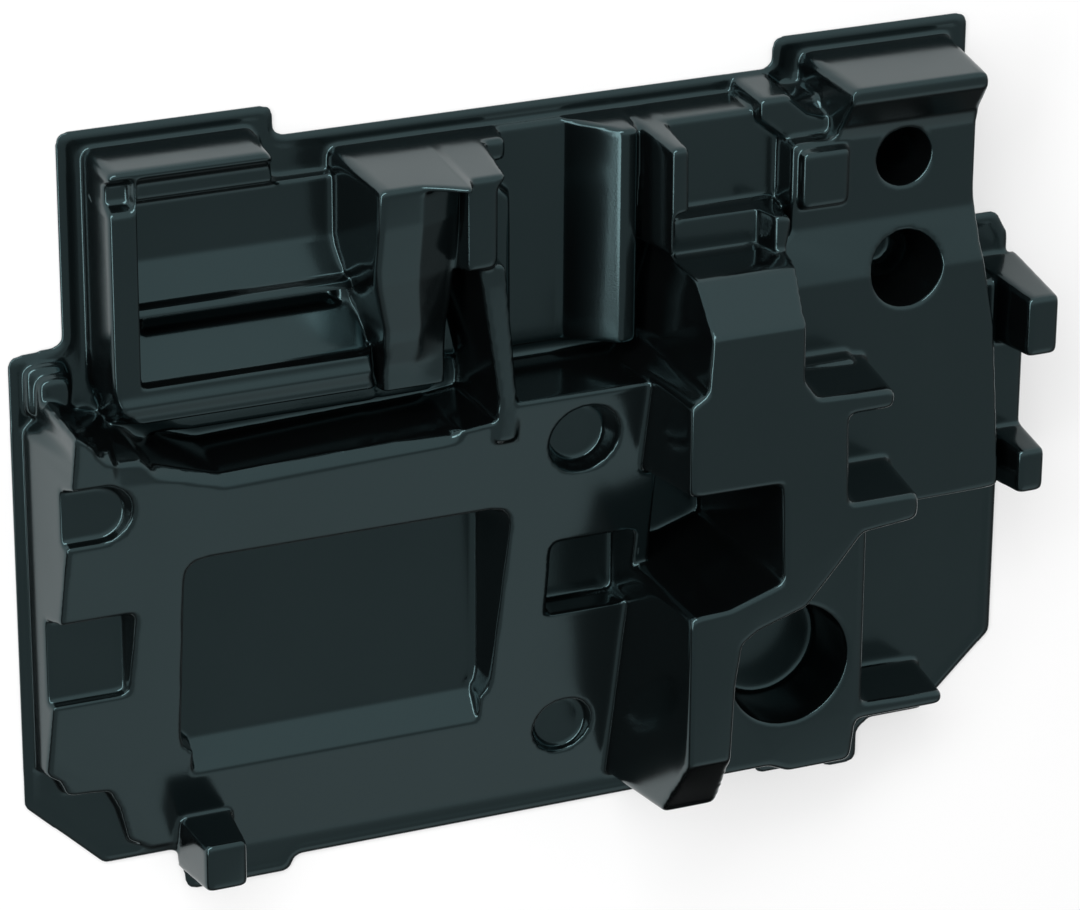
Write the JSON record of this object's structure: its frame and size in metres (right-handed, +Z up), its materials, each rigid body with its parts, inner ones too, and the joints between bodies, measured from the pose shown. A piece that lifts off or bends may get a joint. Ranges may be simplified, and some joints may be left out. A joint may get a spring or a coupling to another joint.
{
  "type": "tool case insert",
  "caption": "Black vacuum formed insert for a power tool case, with shaped cavities, wells and ridges that hold a tool, its battery and small parts.",
  "frame": {"origin": "middle of the outline seen from above, on the plane that the flange rests on", "axes": "+X along the long side, +Y towards the edge with the two corner notches, +Z up, the way the cavities open"},
  "size_m": [0.3761, 0.285, 0.0624],
  "materials": {
    "sheet": "satin black polystyrene sheet"
  },
  "bodies": {
    "root": {"insert_shell": "sheet"}
  },
  "joints": []
}
